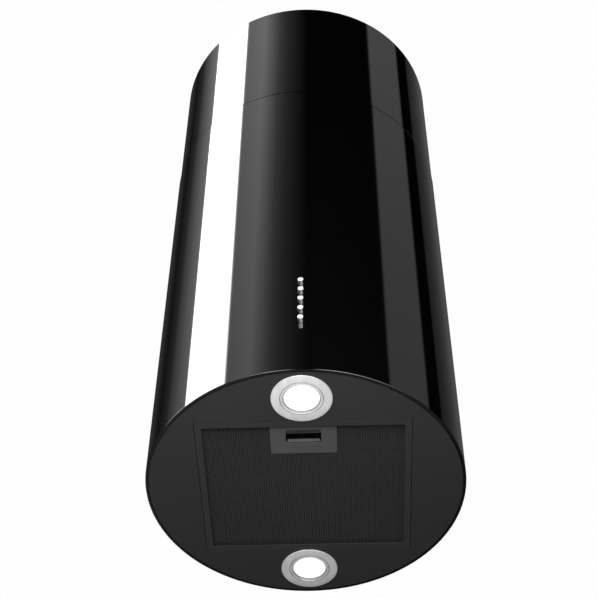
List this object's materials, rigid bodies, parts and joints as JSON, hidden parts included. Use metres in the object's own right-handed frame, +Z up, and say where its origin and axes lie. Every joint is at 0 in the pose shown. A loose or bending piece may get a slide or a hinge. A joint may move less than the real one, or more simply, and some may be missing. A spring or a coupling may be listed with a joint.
{
  "type": "island range hood",
  "caption": "Round tube-shaped kitchen extractor that hangs from a ceiling, with a telescoping shell, push buttons, spot lamps and a hinged grease filter underneath.",
  "frame": {"origin": "centre of the ceiling plate's mounting face, at the middle of its four bolt holes", "axes": "+Z up towards the ceiling; the push buttons face -Y"},
  "size_m": [0.3899, 0.398, 0.8482],
  "materials": {
    "gloss_black": "gloss",
    "panel_grey": "satin",
    "galvanised": "satin",
    "zinc_screw": "satin",
    "blower_plastic": "matt",
    "dark_plastic": "matt",
    "motor_steel": "satin",
    "cast_aluminium": "satin",
    "bearing_bronze": "satin",
    "bush_rubber": "matt",
    "spring_steel": "satin",
    "satin_ring": "satin",
    "lamp_diffuser": "frosted",
    "lamp_circuit": "gloss",
    "filter_aluminium": "satin",
    "filter_mesh": "satin",
    "button_chrome": "polished"
  },
  "bodies": {
    "ceiling_mount": {"ceiling_plate": "galvanised", "upper_shell": "gloss_black", "ceiling_screws": "zinc_screw", "upper_upright_front_left": "galvanised", "upper_upright_front_right": "galvanised", "upper_upright_rear_left": "galvanised", "upper_upright_rear_right": "galvanised"},
    "hood": {"base_panel": "panel_grey", "blower_housing_left": "blower_plastic", "blower_housing_right": "blower_plastic", "button_springs": "spring_steel", "cable_gland": "dark_plastic", "chassis_side_left": "galvanised", "chassis_side_right": "galvanised", "chassis_wrap": "galvanised", "damper_pin": "motor_steel", "hood_screws": "zinc_screw", "lamp_board_front": "lamp_circuit", "lamp_board_rear": "lamp_circuit", "lamp_can_front": "cast_aluminium", "lamp_can_rear": "cast_aluminium", "lamp_clips": "spring_steel", "lamp_lens_front": "lamp_diffuser", "lamp_lens_rear": "lamp_diffuser", "lamp_ring_front": "satin_ring", "lamp_ring_rear": "satin_ring", "led_driver": "dark_plastic", "lower_shell": "gloss_black", "lower_upright_front_left": "galvanised", "lower_upright_front_right": "galvanised", "lower_upright_rear_left": "galvanised", "lower_upright_rear_right": "galvanised", "motor_bearings": "bearing_bronze", "motor_bracket": "galvanised", "motor_bushes": "bush_rubber", "motor_end_shield_left": "cast_aluminium", "motor_end_shield_right": "cast_aluminium", "motor_stator": "motor_steel", "outlet_collar": "blower_plastic", "run_capacitor": "cast_aluminium", "switch_body": "dark_plastic", "terminal_box": "dark_plastic"},
    "fan": {"impeller": "blower_plastic", "motor_shaft": "motor_steel", "motor_rotor": "motor_steel"},
    "damper_front": {"damper_flap_front": "dark_plastic"},
    "damper_rear": {"damper_flap_rear": "dark_plastic"},
    "filter": {"filter_frame": "filter_aluminium", "filter_mesh_front": "filter_mesh", "filter_mesh_core": "filter_mesh", "filter_mesh_back": "filter_mesh", "filter_handle": "filter_aluminium", "filter_latch_springs": "spring_steel"},
    "latch": {"filter_latch": "filter_aluminium"},
    "button_1": {"button_1": "button_chrome"},
    "button_2": {"button_2": "button_chrome"},
    "button_3": {"button_3": "button_chrome"},
    "button_4": {"button_4": "button_chrome"},
    "button_5": {"button_5": "button_chrome"}
  },
  "joints": [
    {"name": "height_slide", "type": "slide", "parent": "ceiling_mount", "child": "hood", "axis": [0, 0, 1], "range_m": [-0.12, 0.12]},
    {"name": "fan_spin", "type": "hinge", "parent": "hood", "child": "fan", "pos_m": [0, 0, -0.677], "axis": [1, 0, 0], "continuous": true},
    {"name": "damper_front_swing", "type": "hinge", "parent": "hood", "child": "damper_front", "pos_m": [0, 0, -0.5378], "axis": [-1, 0, 0], "range_deg": [0, 80]},
    {"name": "damper_rear_swing", "type": "hinge", "parent": "hood", "child": "damper_rear", "pos_m": [0, 0, -0.5378], "axis": [1, 0, 0], "range_deg": [0, 80]},
    {"name": "filter_hinge", "type": "hinge", "parent": "hood", "child": "filter", "pos_m": [0, 0.113, -0.8444], "axis": [1, 0, 0], "range_deg": [0, 72]},
    {"name": "latch_slide", "type": "slide", "parent": "filter", "child": "latch", "axis": [0, 1, 0], "range_m": [0, 0.005], "stiffness_N_per_m": 300, "springref_m": -0.003, "deforming": ["filter_latch_springs"]},
    {"name": "button_1_press", "type": "slide", "parent": "hood", "child": "button_1", "axis": [0, 1, 0], "range_m": [0, 0.004], "stiffness_N_per_m": 400, "springref_m": -0.002, "deforming": ["button_springs"]},
    {"name": "button_2_press", "type": "slide", "parent": "hood", "child": "button_2", "axis": [0, 1, 0], "range_m": [0, 0.004], "stiffness_N_per_m": 400, "springref_m": -0.002, "deforming": ["button_springs"]},
    {"name": "button_3_press", "type": "slide", "parent": "hood", "child": "button_3", "axis": [0, 1, 0], "range_m": [0, 0.004], "stiffness_N_per_m": 400, "springref_m": -0.002, "deforming": ["button_springs"]},
    {"name": "button_4_press", "type": "slide", "parent": "hood", "child": "button_4", "axis": [0, 1, 0], "range_m": [0, 0.004], "stiffness_N_per_m": 400, "springref_m": -0.002, "deforming": ["button_springs"]},
    {"name": "button_5_press", "type": "slide", "parent": "hood", "child": "button_5", "axis": [0, 1, 0], "range_m": [0, 0.004], "stiffness_N_per_m": 400, "springref_m": -0.002, "deforming": ["button_springs"]}
  ]
}
